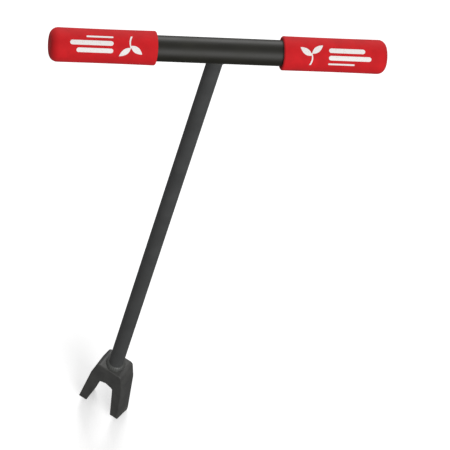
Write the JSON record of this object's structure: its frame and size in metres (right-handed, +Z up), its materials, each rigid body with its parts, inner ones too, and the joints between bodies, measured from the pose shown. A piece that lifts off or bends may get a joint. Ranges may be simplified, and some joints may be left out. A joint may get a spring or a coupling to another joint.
{
  "type": "stand-up weeder",
  "caption": "Long-handled weeding fork: a welded steel T with foam grips and a forked head that straddles a weed and levers it out",
  "frame": {"origin": "on the shaft's axis, level with the tips of the tines", "axes": "+Z up the shaft from the fork to the crossbar, +X along the crossbar to the right grip, +Y to the back"},
  "size_m": [0.416, 0.0618, 0.9],
  "materials": {
    "crossbar_paint": "satin black coating",
    "shaft_paint": "satin charcoal coating",
    "fork_paint": "satin charcoal coating, worn at the tips",
    "weld_paint": "coated weld bead",
    "grip_foam": "matt closed-cell foam"
  },
  "bodies": {
    "root": {"crossbar_tube": "crossbar_paint", "shaft": "shaft_paint", "fork_head": "fork_paint", "fork_weld": "weld_paint", "crossbar_weld": "weld_paint", "right_grip": "grip_foam", "left_grip": "grip_foam"}
  },
  "joints": []
}
